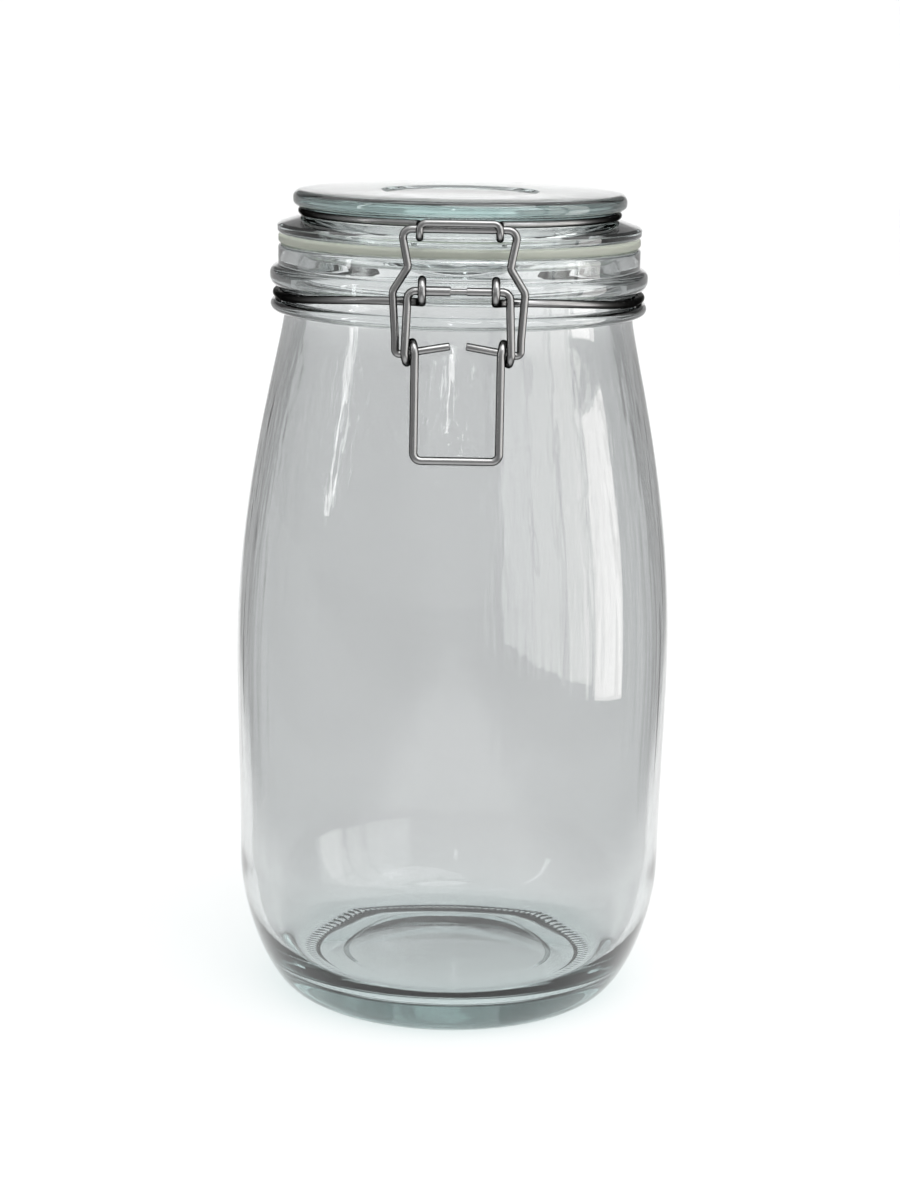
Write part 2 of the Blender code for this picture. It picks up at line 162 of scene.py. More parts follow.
# Each fade of painted shade: the share of the pale colour it leaves, and where it starts and ends.
FRONT_SHADE_SHARE, FRONT_START, FRONT_END = 0.52, 0.22, 0.60
HIGH_SHADE_SHARE, HIGH_START, HIGH_END = 0.45, 0.60, 0.95
SIDE_SHADE_SHARE, SIDE_START, SIDE_END, SIDE_SPREAD = 0.48, 0.13, 0.22, 0.17


def make_floor_paint_and_shade():
    """Pale paint with painted shade: grey in front of, beside and above what the camera sees of it."""
    material = bpy.data.materials.new("pale_floor")
    material.use_nodes = True
    tree = material.node_tree
    shader = tree.nodes["Principled BSDF"]
    shader.inputs["Roughness"].default_value = FLOOR_ROUGHNESS
    shader.inputs["Specular IOR Level"].default_value = FLOOR_SHEEN
    place = tree.nodes.new("ShaderNodeTexCoord")
    split = tree.nodes.new("ShaderNodeSeparateXYZ")
    tree.links.new(place.outputs["Object"], split.inputs["Vector"])
    x, y, z = (split.outputs[axis] for axis in "XYZ")
    front = fade(tree, math_node(tree, "MULTIPLY", y, -1.0), FRONT_START, FRONT_END, FRONT_SHADE_SHARE)
    aside = math_node(tree, "MULTIPLY_ADD", y, -SIDE_SPREAD, math_node(tree, "ABSOLUTE", x))
    side = fade(tree, aside, SIDE_START, SIDE_END, SIDE_SHADE_SHARE)
    high = fade(tree, z, HIGH_START, HIGH_END, HIGH_SHADE_SHARE)
    share = math_node(tree, "MULTIPLY", math_node(tree, "MULTIPLY", front, side), high)
    paint = math_node(tree, "MULTIPLY", share, FLOOR_PALE)
    tree.links.new(paint, shader.inputs["Base Color"])
    return material


make_floor(make_floor_paint_and_shade())

# %% [markdown]
# Close on the right stands a window, made of six panes of unlike brightness. It is there for its
# reflection alone: the camera doesn't see the lamps themselves, and they don't light the floor.
# A picture on one large pane could show more of a window, but plain panes are enough once the
# waves in the glass have pulled them into streaks. Two narrow strips give thin highlights.

# %% Window and strips
WINDOW_X = 0.36
# From y, to y, from z, to z, radiance, colour.
WINDOW_PANES = [
    (-0.74, -0.42, 0.02, 0.50, 1.2, (1.0, 1.0, 1.0)),
    (-0.41, -0.24, 0.02, 0.30, 1.5, (1.0, 0.99, 0.97)),
    (-0.41, -0.24, 0.32, 0.62, 2.4, (0.97, 0.98, 1.0)),
    (-0.22, -0.12, 0.02, 0.44, 1.8, (1.0, 0.98, 0.95)),
    (-0.10, 0.02, 0.01, 0.22, 3.0, (1.0, 0.96, 0.94)),
    (-0.10, 0.02, 0.24, 0.60, 2.0, (1.0, 0.98, 0.94)),
]
# Name, place, width, height, radiance, direction that it faces.
STRIPS = [
    ("left_strip", (-0.55, -0.20, 0.42), 0.03, 0.50, 5.0, (1, 0.35)),
    ("front_strip", (-0.10, -1.20, 0.60), 0.05, 0.30, 6.0, (0, 1)),
]


def panel(name, place, width, height, radiance, towards, colour=(1.0, 1.0, 1.0)):
    """A flat soft light that faces a level direction. Its power is pi times radiance times area."""
    data = bpy.data.lights.new(name, "AREA")
    data.shape = "RECTANGLE"
    data.size, data.size_y = width, height
    data.energy = math.pi * radiance * width * height
    data.color = colour
    light = bpy.data.objects.new(name, data)
    light.location = place
    light.rotation_euler = (math.pi / 2, 0, math.atan2(-towards[0], towards[1]))
    light.visible_camera = False
    light.visible_diffuse = False
    bpy.context.collection.objects.link(light)


# %% [markdown]
# The room is grey at the height of the jar and paler towards the ceiling, and a very soft sun
# lights the floor evenly. A picture of a real room could light the jar as well, but a plain grey
# keeps the floor even. Light on its way through both walls of the jar and its lid meets many
# surfaces, so it is allowed more bounces than usual.

# %% Room and sun
ROOM_GREY = 0.44
CEILING_TIMES, CEILING_START, CEILING_END = 2.5, 0.35, 0.80
SUN_STRENGTH, SUN_ANGLE_DEG = 1.50, 50
SUN_TILT_DEG = (24, 16, 0)
BOUNCES, TRANSPARENT_BOUNCES = 16, 20


def set_light():
    """A grey room with a pale ceiling, a broad sun, a window on the right and two strips."""
    world = bpy.data.worlds.new("room")
    world.use_nodes = True
    tree = world.node_tree
    split = tree.nodes.new("ShaderNodeSeparateXYZ")
    tree.links.new(tree.nodes.new("ShaderNodeTexCoord").outputs["Generated"], split.inputs["Vector"])
    times = fade(tree, split.outputs["Z"], CEILING_START, CEILING_END, CEILING_TIMES)
    tree.links.new(times, tree.nodes["Background"].inputs["Strength"])
    tree.nodes["Background"].inputs["Color"].default_value = (ROOM_GREY,) * 3 + (1,)
    bpy.context.scene.world = world
    data = bpy.data.lights.new("soft_sun", "SUN")
    data.energy, data.angle = SUN_STRENGTH, math.radians(SUN_ANGLE_DEG)
    sun = bpy.data.objects.new("soft_sun", data)
    sun.rotation_euler = [math.radians(angle) for angle in SUN_TILT_DEG]
    bpy.context.collection.objects.link(sun)
    for k, (y0, y1, z0, z1, radiance, colour) in enumerate(WINDOW_PANES):
        panel(
            f"window_{k}", (WINDOW_X, (y0 + y1) / 2, (z0 + z1) / 2), y1 - y0, z1 - z0,
            radiance, (-1, 0), colour,
        )
    for strip in STRIPS:
        panel(*strip)
    print("lamps", 1 + len(WINDOW_PANES) + len(STRIPS))


set_light()
bpy.context.scene.view_settings.view_transform = "Standard"
bpy.context.scene.cycles.max_bounces = BOUNCES
bpy.context.scene.cycles.transmission_bounces = BOUNCES
bpy.context.scene.cycles.transparent_max_bounces = TRANSPARENT_BOUNCES

# %% [markdown]
# ## Materials
#
# Moulded glass has tall, narrow waves that turn reflections into streaks. They could be real
# shape, but a noise stretched along the height and used as bump does the same without a face
# more. They are calm at the heel, at the neck and towards the outline, where glass looks clean.

# %% Waves
CALM_BELOW, CALM_ABOVE, CALM_FACING = (0.04, 0.10), (0.178, 0.190), (0.20, 0.42)
CALM_SHARE = 0.08


def link(tree, source, socket_out, target, socket_in):
    """Joins two nodes by the names of their sockets."""
    tree.links.new(source.outputs[socket_out], target.inputs[socket_in])


def ripple(tree, shader, socket, scale, distance, detail, strength=1.0, calm=False):
    """Bump from a noise stretched by scale along each axis, which can be calm at ends and edges."""
    place = tree.nodes.new("ShaderNodeTexCoord")
    stretch = tree.nodes.new("ShaderNodeMapping")
    stretch.inputs["Scale"].default_value = scale
    noise = tree.nodes.new("ShaderNodeTexNoise")
    noise.inputs["Scale"].default_value = 1.0
    noise.inputs["Detail"].default_value = detail
    bump = tree.nodes.new("ShaderNodeBump")
    bump.inputs["Strength"].default_value = strength
    bump.inputs["Distance"].default_value = distance
    link(tree, place, "Object", stretch, "Vector")
    link(tree, stretch, "Vector", noise, "Vector")
    link(tree, noise, "Fac", bump, "Height")
    if calm:
        split = tree.nodes.new("ShaderNodeSeparateXYZ")
        link(tree, place, "Object", split, "Vector")
        height = math_node(tree, "MULTIPLY", split.outputs["Z"], -1.0)
        low_share = fade(tree, height, -CALM_BELOW[1], -CALM_BELOW[0], CALM_SHARE)
        high_share = fade(tree, split.outputs["Z"], *CALM_ABOVE, CALM_SHARE)
        turned = tree.nodes.new("ShaderNodeLayerWeight").outputs["Facing"]
        edge_share = fade(tree, turned, *CALM_FACING, CALM_SHARE)
        end_share = math_node(tree, "MULTIPLY", low_share, high_share)
        share = math_node(tree, "MULTIPLY", end_share, edge_share)
        tree.links.new(share, bump.inputs["Strength"])
    link(tree, bump, "Normal", shader, socket)


# %% [markdown]
# A room that isn't lit all round gives a jar a soft grey, which it mirrors: fullest along the
# wall and at the outline, and less at the heel and the neck. Here that grey is painted shade: a
# colour of the glass, which a ramp reads from the height and which darkens towards the outline,
# because a darker room would darken the floor as well.

# %% Painted shade of the jar
# Height in metres, and the grey of the painted shade there.
SHADE_AT_HEIGHT = [(0.010, 0.84), (0.040, 0.740), (0.183, 0.740), (0.196, 0.89)]
COOL_GREY = (1.0, 1.004, 1.008)
# The painted shade at the outline: the share of grey left there, and where it starts and ends.
OUTLINE_SHADE_SHARE, OUTLINE_START, OUTLINE_END = 0.55, 0.62, 0.92


def add_painted_shade(material):
    """Painted shade: a grey eased between the given heights, times less towards the outline."""
    tree = material.node_tree
    shader = tree.nodes["Principled BSDF"]
    place = tree.nodes.new("ShaderNodeTexCoord")
    split = tree.nodes.new("ShaderNodeSeparateXYZ")
    link(tree, place, "Object", split, "Vector")
    tall = SHADE_AT_HEIGHT[-1][0]
    ramp = tree.nodes.new("ShaderNodeValToRGB")
    ramp.color_ramp.interpolation = "EASE"
    elements = ramp.color_ramp.elements
    for _ in SHADE_AT_HEIGHT[2:]:
        elements.new(0.5)
    for element, (height, grey) in zip(elements, SHADE_AT_HEIGHT):
        element.position = height / tall
        element.color = (*(grey * part for part in COOL_GREY), 1)
    tree.links.new(math_node(tree, "DIVIDE", split.outputs["Z"], tall), ramp.inputs["Fac"])
    turned = tree.nodes.new("ShaderNodeLayerWeight").outputs["Facing"]
    darker = tree.nodes.new("ShaderNodeVectorMath")
    darker.operation = "SCALE"
    link(tree, ramp, "Color", darker, "Vector")
    share = fade(tree, turned, OUTLINE_START, OUTLINE_END, OUTLINE_SHADE_SHARE)
    tree.links.new(share, darker.inputs["Scale"])
    link(tree, darker, "Vector", shader, "Base Color")


# %% [markdown]
# The glass absorbs red light a little more than green and blue, so that thick edges turn teal
# while thin walls stay neutral. A thin clear coat with deep waves mirrors the streaks, and the
# glass below has faint ones, so that what is seen through the wall stays straight. Lamps and
# scattered light pass by a plain Transparent shader, since bent light would need more samples.

# %% Glass
GLASS_IOR = 1.5
GLASS_TINT = (0.960, 0.962, 0.960, 1)
COAT_WEIGHT, COAT_ROUGHNESS = 0.45, 0.03
# Waves along each axis, their depth in the glass and their depth in the coat.
JAR_WAVES, LID_WAVES = ((300, 300, 9), 0.00012, 0.0008), ((160, 160, 160), 0.00002, 0.00015)
GLASS_DETAIL, COAT_DETAIL = 1.0, 2.0
THICK_GLASS_COLOUR = (0.0, 0.42, 0.40, 1)
ABSORPTION_PER_M = 8.0
SHADOW_TINT = (0.955, 0.96, 0.96, 1)


def make_glass(name, waves, glass_depth, coat_depth, calm):
    """Clear glass with teal depth, which lets lamps and scattered light straight through."""
    material = bpy.data.materials.new(name)
    material.use_nodes = True
    tree = material.node_tree
    shader = tree.nodes["Principled BSDF"]
    shader.inputs["Base Color"].default_value = GLASS_TINT
    shader.inputs["Roughness"].default_value = 0.0
    shader.inputs["IOR"].default_value = GLASS_IOR
    shader.inputs["Transmission Weight"].default_value = 1.0
    ripple(tree, shader, "Normal", waves, glass_depth, GLASS_DETAIL, calm=calm)
    shader.inputs["Coat Weight"].default_value = COAT_WEIGHT
    shader.inputs["Coat Roughness"].default_value = COAT_ROUGHNESS
    ripple(tree, shader, "Coat Normal", waves, coat_depth, COAT_DETAIL, calm=calm)
    out = tree.nodes["Material Output"]
    depth = tree.nodes.new("ShaderNodeVolumeAbsorption")
    depth.inputs["Color"].default_value = THICK_GLASS_COLOUR
    depth.inputs["Density"].default_value = ABSORPTION_PER_M
    link(tree, depth, "Volume", out, "Volume")
    path = tree.nodes.new("ShaderNodeLightPath")
    either = math_node(tree, "MAXIMUM", path.outputs["Is Shadow Ray"], path.outputs["Is Diffuse Ray"])
    clear = tree.nodes.new("ShaderNodeBsdfTransparent")
    clear.inputs["Color"].default_value = SHADOW_TINT
    mix = tree.nodes.new("ShaderNodeMixShader")
    tree.links.new(either, mix.inputs[0])
    tree.links.new(shader.outputs[0], mix.inputs[1])
    tree.links.new(clear.outputs[0], mix.inputs[2])
    tree.links.new(mix.outputs[0], out.inputs["Surface"])
    return material


jar_glass = make_glass("jar_glass", *JAR_WAVES, calm=True)
add_painted_shade(jar_glass)
lid_glass = make_glass("lid_glass", *LID_WAVES, calm=False)
print("glass", jar_glass.name, "and", lid_glass.name)

# %% [markdown]
# Drawn stainless wire carries fine lines from the die. The lines follow the wire, so the pattern
# reads the piece's UV map: one axis is the length in metres and the other is the way round. The
# flanks of a wire mirror the dark sides of a room. Here they would mirror the pale backdrop, so
# their shade is painted: the metal's grey falls off where the surface turns away from the camera,
# and a dark edge tint darkens what they mirror.

# %% Steel wire, with painted shade on its flanks
STEEL_GREY = 0.34
# Painted shade on the flanks: the share of grey left there, where it starts and ends, and a dark edge
# tint.
FLANK_SHADE_SHARE, FLANK_START, FLANK_END = 0.22, 0.12, 0.55
STEEL_EDGE = (0.12, 0.12, 0.11, 1)
LINES_SCALE, LINES_DETAIL = (60, 14, 1), 4.0
LINES_ROUGHNESS = (0.16, 0.34)
LINES_STRENGTH, LINES_DEPTH = 0.35, 0.00005


def make_steel():
    """Metal whose roughness and height vary in long thin lines along the wire; its flanks have painted
    shade.
    """
    material = bpy.data.materials.new("drawn_wire")
    material.use_nodes = True
    tree = material.node_tree
    shader = tree.nodes["Principled BSDF"]
    turned = tree.nodes.new("ShaderNodeLayerWeight").outputs["Facing"]
    share = fade(tree, turned, FLANK_START, FLANK_END, FLANK_SHADE_SHARE)
    tree.links.new(math_node(tree, "MULTIPLY", share, STEEL_GREY), shader.inputs["Base Color"])
    shader.inputs["Metallic"].default_value = 1.0
    shader.inputs["Specular Tint"].default_value = STEEL_EDGE
    lines_place = tree.nodes.new("ShaderNodeUVMap")
    stretch = tree.nodes.new("ShaderNodeMapping")
    stretch.inputs["Scale"].default_value = LINES_SCALE
    noise = tree.nodes.new("ShaderNodeTexNoise")
    noise.inputs["Scale"].default_value = 1.0
    noise.inputs["Detail"].default_value = LINES_DETAIL
    link(tree, lines_place, "UV", stretch, "Vector")
    link(tree, stretch, "Vector", noise, "Vector")
    rough = tree.nodes.new("ShaderNodeMapRange")
    rough.inputs["To Min"].default_value, rough.inputs["To Max"].default_value = LINES_ROUGHNESS
    link(tree, noise, "Fac", rough, "Value")
    link(tree, rough, "Result", shader, "Roughness")
    bump = tree.nodes.new("ShaderNodeBump")
    bump.inputs["Strength"].default_value = LINES_STRENGTH
    bump.inputs["Distance"].default_value = LINES_DEPTH
    link(tree, noise, "Fac", bump, "Height")
    link(tree, bump, "Normal", shader, "Normal")
    return material


steel = make_steel()
print("steel", steel.name)

# %% [markdown]
# The gasket is milky: it lets light through, but nothing can be seen through it. A Principled
# shader does both with half of its weight in transmission and a rough surface.

# %% Gasket rubber
RUBBER_COLOUR = (0.70, 0.72, 0.64, 1)
RUBBER_ROUGHNESS, RUBBER_IOR, RUBBER_CLEARNESS = 0.5, 1.4, 0.5
GRAIN_SCALE, GRAIN_DEPTH, GRAIN_DETAIL, GRAIN_STRENGTH = (900, 900, 900), 0.00006, 2.0, 0.5


def make_rubber():
    """Milky rubber: half of the light goes through it, much blurred, and the rest is scattered."""
    material = bpy.data.materials.new("milky_rubber")
    material.use_nodes = True
    tree = material.node_tree
    shader = tree.nodes["Principled BSDF"]
    shader.inputs["Base Color"].default_value = RUBBER_COLOUR
    shader.inputs["Roughness"].default_value = RUBBER_ROUGHNESS
    shader.inputs["IOR"].default_value = RUBBER_IOR
    shader.inputs["Transmission Weight"].default_value = RUBBER_CLEARNESS
    ripple(tree, shader, "Normal", GRAIN_SCALE, GRAIN_DEPTH, GRAIN_DETAIL, GRAIN_STRENGTH)
    return material


rubber = make_rubber()
print("rubber", rubber.name)

# %% [markdown]
# ## Turned glass
#
# A moulded jar is a profile turned about its axis. The profile is a path in the plane of radius
# and height: straight runs, arcs at the corners and long eased curves for the barrel. The wires
# are bent from the same straight runs and arcs, so the helpers work in the plane and in space.

# %% Paths
ARC_STEPS = 8
NEARLY_STRAIGHT = math.radians(89.5)
SAME_POINT = 1e-6


def unit(vectors):
    """Each vector divided by its length."""
    return vectors / np.linalg.norm(vectors, axis=-1, keepdims=True)


def rounded(corners, radii, steps=ARC_STEPS):
    """A path whose inner corners become arcs: centre + start cos t + side sin t, for t up to the turn."""
    corners = np.asarray(corners, float)
    radii = np.broadcast_to(radii, len(corners) - 2)
    stretches = [corners[:1]]
    for before, corner, after, radius in zip(corners, corners[1:], corners[2:], radii):
        back, ahead = unit(before - corner), unit(after - corner)
        half = math.acos(np.clip(back @ ahead, -1, 1)) / 2
        if radius == 0 or half > NEARLY_STRAIGHT:
            stretches.append(corner[None])
            continue
        centre = corner + unit(back + ahead) * radius / math.sin(half)
        start = corner + back * radius / math.tan(half) - centre
        end = corner + ahead * radius / math.tan(half) - centre
        side = unit(end - start * (end @ start) / (start @ start)) * radius
        t = np.linspace(0, math.pi - 2 * half, steps + 1)[:, None]
        stretches.append(centre + start * np.cos(t) + side * np.sin(t))
    return np.concatenate([*stretches, corners[-1:]])


def eased(start, start_pull, end_pull, end, count):
    """A cubic curve: each end and its pulled point, weighted by the powers of t and 1 - t."""
    start, end = np.array(start, float), np.array(end, float)
    first, second = start + start_pull, end + end_pull
    t = np.linspace(0, 1, count)[:, None]
    return (
        start * (1 - t) ** 3 + 3 * first * t * (1 - t) ** 2 + 3 * second * t**2 * (1 - t) + end * t**3
    )


def without_repeats(path):
    """The path without points that fall on the one before."""
    keep = np.r_[True, np.linalg.norm(np.diff(path, axis=0), axis=1) > SAME_POINT]
    return path[keep]


# %% [markdown]
# Every piece is a grid of points: along its path one way, and round the axis or the wire the
# other way. The grid's cells are the faces. Points that meet, such as all those on the axis, are
# merged, and the faces are turned outwards. The piece then learns which body it moves with and
# which plain solid it replaces.

# %% From a grid to a mesh
SAME_VERTEX = 1e-7


def put_mesh(name, points, body, material, node, closed_along=False, uv=None):
    """A grid of points made a mesh: each cell is a face, and the grid closes round its second axis."""
    rows, columns = points.shape[:2]
    i, j = np.meshgrid(np.arange(rows if closed_along else rows - 1), np.arange(columns), indexing="ij")
    i_next, j_next = (i + 1) % rows, (j + 1) % columns
    faces = np.stack(
        [i * columns + j, i_next * columns + j, i_next * columns + j_next, i * columns + j_next], -1
    ).reshape(-1, 4)
    mesh = bpy.data.meshes.new(name)
    mesh.vertices.add(rows * columns)
    mesh.vertices.foreach_set("co", points.astype(np.float32).ravel())
    mesh.loops.add(faces.size)
    mesh.loops.foreach_set("vertex_index", faces.astype(np.int32).ravel())
    mesh.polygons.add(len(faces))
    mesh.polygons.foreach_set("loop_start", np.arange(0, faces.size, 4, dtype=np.int32))
    mesh.update(calc_edges=True)
    if uv is not None:
        along = uv[np.stack([i, i + 1, i + 1, i], -1)]
        way_round = np.stack([j, j, j + 1, j + 1], -1) / columns
        layer = mesh.uv_layers.new(name="UVMap")
        layer.data.foreach_set("uv", np.stack([along, way_round], -1).astype(np.float32).ravel())
    shape = bmesh.new()
    shape.from_mesh(mesh)
    bmesh.ops.remove_doubles(shape, verts=shape.verts, dist=SAME_VERTEX)
    bmesh.ops.dissolve_degenerate(shape, edges=shape.edges, dist=SAME_VERTEX)
    if shape.calc_volume(signed=True) < 0:
        bmesh.ops.reverse_faces(shape, faces=shape.faces)
    volume, count = shape.calc_volume(), len(shape.faces)
    shape.to_mesh(mesh)
    shape.free()
    mesh.shade_smooth()
    mesh.materials.append(material)
    piece = bpy.data.objects.new(name, mesh)
    bpy.context.collection.objects.link(piece)
    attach(piece, body)
    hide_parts(node)
    print(f"{name}: {count} faces, {volume * 1e6:.1f} cubic cm")


# %% [markdown]
# Turning a profile is one line of numpy: radius times the cosine and the sine of an angle, with
# the height kept. The Screw modifier could turn it too, but here a relief can be added as well.

# %% Turning
ROUND_STEPS = 480


def turn(name, profile, body, material, node, relief=None, closed=False):
    """A turned surface: (r cos a, r sin a, z) for each profile point (r, z) and each angle a."""
    profile = without_repeats(profile)
    angle = np.linspace(0, 2 * np.pi, ROUND_STEPS, endpoint=False)
    radius, height = profile[:, :1], profile[:, 1:]
    lift = relief(radius, height, angle[None]) if relief else 0
    points = np.stack(
        np.broadcast_arrays(radius * np.cos(angle), radius * np.sin(angle), height + lift), -1
    )
    put_mesh(name, points, body, material, node, closed_along=closed)


# %% [markdown]
# ## Jar
#
# The jar narrows to its neck, carries two beads with a groove for the wire between them, and
# stands on a flat foot ring. The underside is pushed up, and the foot ring has fine radial
# ticks from its mould. They are real relief: a cosine of the angle lifts the ring between the
# ticks. A bump texture could draw them too, but relief needs no second glass for the foot.

# %% Jar sizes
belly_radius = float(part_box("jar_body")[1][0])
rim_z = float(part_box("jar_body")[1][2])
BELLY_Z = 0.0980
WALL = 0.0032
NECK_R, MOUTH_R, MOUTH_TAPER = 0.0496, 0.0445, 0.0003
RIM_ROUNDS, RIM_EDGE = [0.0008, 0.0011], 0.0040
# Radius, height and half the width of each bead.
UPPER_BEAD = (0.0518, 0.2023, 0.0029)
LOWER_BEAD = (0.0516, 0.1946, 0.0016)
BEAD_TOP_SHARE, BEAD_SHARE, BEAD_LEAD = 0.75, 0.98, 0.0010
GROOVE_R, GROOVE_ROUND, NECK_ROUND = 0.0485, 0.0004, 0.0005
SHOULDER = np.array([0.0479, 0.1922])
HEEL = np.array([0.0596, 0.0380])
FOOT_R, FOOT_INNER_R, FOOT_STEP, FOOT_ROUND = 0.0431, 0.0392, 0.0012, 0.0005
PUNT_R, PUNT_Z, PUNT_RISE, PUNT_ROUND = 0.0290, 0.0032, 0.0008, 0.0006
PUNT_SLOPE_RUN, PUNT_SLOPE_Z = 0.0015, 0.0018
FLOOR_R, FLOOR_Z, FLOOR_RISE_HALFWAY, FLOOR_RISE = 0.0400, 0.0090, 0.0001, 0.0004
CORNER, INNER_HEEL_LIFT = (0.0430, 0.0100), 0.0040
TICKS, TICK_DEPTH, FLAT_BELOW_Z = 120, 0.00035, 0.0001
print("belly", round(belly_radius * 2000, 1), "mm across, rim at", round(rim_z * 1000, 1), "mm")

# %% [markdown]
# The long curves are cubic curves: at each end a pull says in which direction, and how far, the
# curve leaves before it bends towards the other end.

# %% Jar profile
SHOULDER_PULL, BELLY_PULL_UP = (0.0004, -0.0085), (0, 0.0455)
BELLY_PULL_DOWN, HEEL_PULL_UP = (0, -0.0200), (0, 0.0200)
HEEL_PULL_DOWN, FOOT_PULL = (0, -0.0153), (0.0078, 0)
CORNER_PULL, INNER_HEEL_PULL_DOWN = (0.0090, 0.0008), (0, -0.0150)
INNER_BELLY_PULL_DOWN = (0, -0.0180)
SHOULDER_POINTS, SIDE_POINTS, HEEL_POINTS, FOOT_POINTS = 26, 12, 24, 5
INNER_SHOULDER_POINTS, INNER_HEEL_POINTS = 22, 22
RIM_STEPS, UNDERSIDE_STEPS = 6, 4


def bead_path():
    """The outside of the neck: a half round bead, the groove, and a second half round bead."""
    r1, z1, h1 = UPPER_BEAD
    r2, z2, h2 = LOWER_BEAD
    corners = [
        (NECK_R, z1 + h1 + BEAD_LEAD), (NECK_R, z1 + h1), (r1, z1 + h1), (r1, z1 - h1),
        (GROOVE_R, z1 - h1), (GROOVE_R, z2 + h2), (r2, z2 + h2), (r2, z2 - h2),
        (SHOULDER[0], z2 - h2), tuple(SHOULDER),
    ]
    return rounded(corners, [
        NECK_ROUND, h1 * BEAD_TOP_SHARE, h1 * BEAD_SHARE, GROOVE_ROUND,
        GROOVE_ROUND, h2 * BEAD_SHARE, h2 * BEAD_SHARE, NECK_ROUND,
    ])


def jar_profile():
    """From the middle of the inner floor up the inside, over the rim and down the outside."""
    belly = np.array([belly_radius, BELLY_Z])
    inner_heel = HEEL + (-WALL, INNER_HEEL_LIFT)
    inner_belly = belly - (WALL, 0)
    inner_neck = np.array([MOUTH_R + MOUTH_TAPER, SHOULDER[1]])
    floor = [
        (0, FLOOR_Z), (FLOOR_R / 2, FLOOR_Z + FLOOR_RISE_HALFWAY), (FLOOR_R, FLOOR_Z + FLOOR_RISE),
    ]
    rim = [inner_neck, (MOUTH_R, rim_z), (NECK_R, rim_z), (NECK_R, rim_z - RIM_EDGE)]
    underside = [
        (FOOT_INNER_R, 0), (FOOT_INNER_R - FOOT_STEP, FOOT_STEP), (PUNT_R + PUNT_SLOPE_RUN, PUNT_SLOPE_Z),
        (PUNT_R, PUNT_Z), (0, PUNT_Z + PUNT_RISE),
    ]
    return np.concatenate([
        floor,
        eased(CORNER, CORNER_PULL, INNER_HEEL_PULL_DOWN, inner_heel, INNER_HEEL_POINTS),
        eased(inner_heel, HEEL_PULL_UP, INNER_BELLY_PULL_DOWN, inner_belly, SIDE_POINTS),
        eased(inner_belly, BELLY_PULL_UP, SHOULDER_PULL, inner_neck, INNER_SHOULDER_POINTS),
        rounded(rim, RIM_ROUNDS, RIM_STEPS),
        bead_path(),
        eased(SHOULDER, SHOULDER_PULL, BELLY_PULL_UP, belly, SHOULDER_POINTS),
        eased(belly, BELLY_PULL_DOWN, HEEL_PULL_UP, HEEL, SIDE_POINTS),
        eased(HEEL, HEEL_PULL_DOWN, FOOT_PULL, (FOOT_R, 0), HEEL_POINTS),
        np.linspace((FOOT_R, 0), (FOOT_INNER_R, 0), FOOT_POINTS)[1:],
        rounded(underside, [FOOT_ROUND, PUNT_ROUND, PUNT_ROUND], UNDERSIDE_STEPS)[1:],
    ])


def foot_ticks(radius, height, angle):
    """Ticks: half the depth times 1 - cos(count a), only on the flat of the foot ring."""
    inside = (FOOT_R - radius) * (radius - FOOT_INNER_R) / ((FOOT_R - FOOT_INNER_R) / 2) ** 2
    on_foot = np.clip(inside, 0, 1) * (height < FLAT_BELOW_Z)
    return on_foot * TICK_DEPTH * (1 - np.cos(TICKS * angle)) / 2


turn("jar_fine", jar_profile(), "jar", jar_glass, "jar_body", relief=foot_ticks)

# %% [markdown]
# ## Lid
#
# The lid is one pressed piece: a flat top with a shallow dish, a waist that the wire lies in, a
# sloping flange that presses on the gasket and a hollow plug that centres it in the mouth.

# %% Lid
lid_low, lid_high = (np.array(corner, float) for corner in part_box("lid_glass"))
LID_TOP_R, LID_RIM_BOTTOM_Z, LID_RIM_ROUNDS = 0.0456, 0.2212, [0.0022, 0.0015]
LID_DISH_R, LID_DISH_DEPTH, LID_DISH_SLOPE, LID_DISH_ROUND = 0.0218, 0.0006, 0.0009, 0.0006
LID_WAIST_R, LID_WAIST_BOTTOM_Z, LID_WAIST_ROUND = 0.0419, 0.2185, 0.0005
LID_LEDGE_R, LID_LEDGE_Z = 0.0435, 0.2184
FLANGE_TOP_Z, FLANGE_BOTTOM_Z, FLANGE_ROUNDS = 0.2167, 0.2139, [0.0010, 0.0004, 0.0009]
FLANGE_EDGE_RUN, FLANGE_EDGE_DROP = 0.0010, 0.0006
PLUG_R, PLUG_WALL, PLUG_DRAFT, LID_CEILING_Z = 0.0433, 0.0040, 0.0008, 0.2195
PLUG_ROUNDS = [0.0004, 0.0010, 0.0008, 0.0020]
LID_ROUND_STEPS = 6


